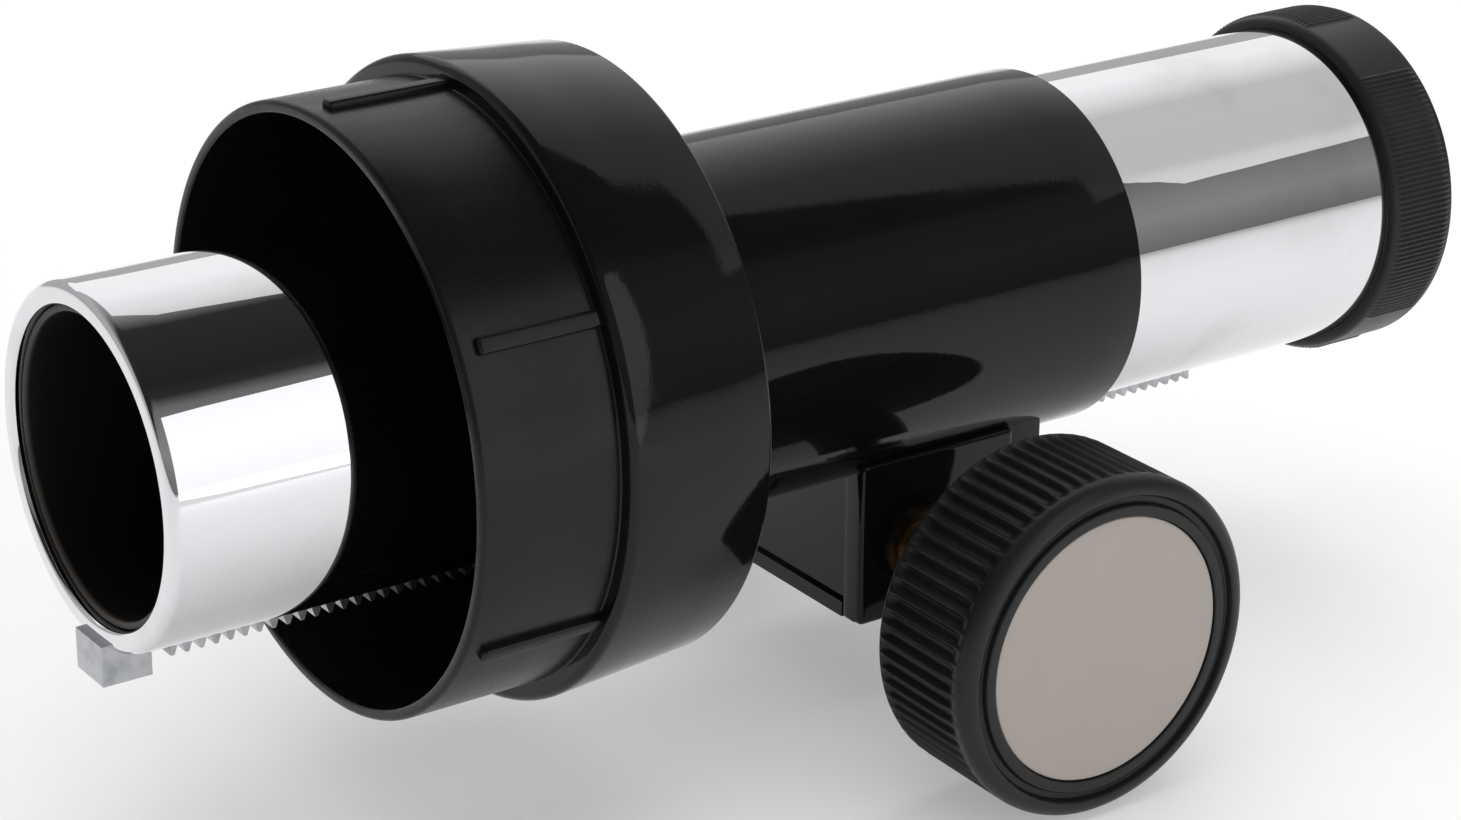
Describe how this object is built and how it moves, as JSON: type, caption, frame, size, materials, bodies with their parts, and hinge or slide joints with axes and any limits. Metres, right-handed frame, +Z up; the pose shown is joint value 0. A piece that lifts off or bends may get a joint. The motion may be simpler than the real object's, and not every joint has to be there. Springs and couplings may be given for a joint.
{
  "type": "telescope focuser",
  "caption": "Rack and pinion focuser: a chromed drawtube slides in a black barrel behind a flanged spigot, driven by a cross shaft with ribbed knobs and a toothed rack.",
  "frame": {"origin": "on the optical axis, in the plane of the flange shoulder that meets the telescope tube", "axes": "+X along the optical axis towards the eyepiece, +Z up, focusing shaft along Y below the axis"},
  "size_m": [0.1597, 0.0896, 0.0756],
  "materials": {
    "black_moulding": "glossy injection moulding",
    "satin_black": "satin injection moulding",
    "disc_grey": "matt warm grey",
    "chrome_plate": "mirror chrome",
    "dark_liner": "matt, dark grey-brown",
    "rack_metal": "bright cast metal",
    "bush_brass": "turned",
    "shaft_steel": "ground",
    "screw_steel": "nickel plated",
    "dark_steel": "blackened",
    "slippery_plastic": "waxy white"
  },
  "bodies": {
    "housing": {"housing": "black_moulding", "glide_strips": "slippery_plastic", "gearbox_cover": "black_moulding", "cover_screws": "screw_steel", "bush_near": "bush_brass", "bush_far": "bush_brass", "tension_pads": "slippery_plastic", "tension_screws": "dark_steel"},
    "drawtube": {"drawtube": "chrome_plate", "tube_liner": "dark_liner", "rack": "rack_metal", "rack_screws": "screw_steel", "eyepiece_ring": "satin_black"},
    "lock_tip": {"lock_screw_tip": "slippery_plastic"},
    "lock_screw": {"lock_screw": "screw_steel"},
    "focus_drive": {"pinion_shaft": "shaft_steel", "pinion_gear": "bush_brass", "shaft_clips": "dark_steel", "knob_near": "satin_black", "knob_far": "satin_black", "knob_disc_near": "disc_grey", "knob_disc_far": "disc_grey", "knob_screw_near": "screw_steel", "knob_screw_far": "screw_steel"}
  },
  "joints": [
    {"name": "drawtube_slide", "type": "slide", "parent": "housing", "child": "drawtube", "axis": [1, 0, 0], "range_m": [-0.0364, 0.048]},
    {"name": "pinion_turn", "type": "hinge", "parent": "housing", "child": "focus_drive", "pos_m": [0.0488, 0, -0.0245], "axis": [0, 1, 0], "range_deg": [-420, 555]},
    {"name": "lock_advance", "type": "slide", "parent": "drawtube", "child": "lock_tip", "axis": [0, -0.866, 0.5], "range_m": [-0.0014, 0.0014]},
    {"name": "lock_turn", "type": "hinge", "parent": "lock_tip", "child": "lock_screw", "pos_m": [0.113, 0, 0], "axis": [0, -0.866, 0.5], "range_deg": [-727, 727]}
  ],
  "couplings": [
    {"joint": "pinion_turn", "follows": "drawtube_slide", "rad_per_m": 200},
    {"joint": "lock_turn", "follows": "lock_advance", "rad_per_m": 8976}
  ]
}
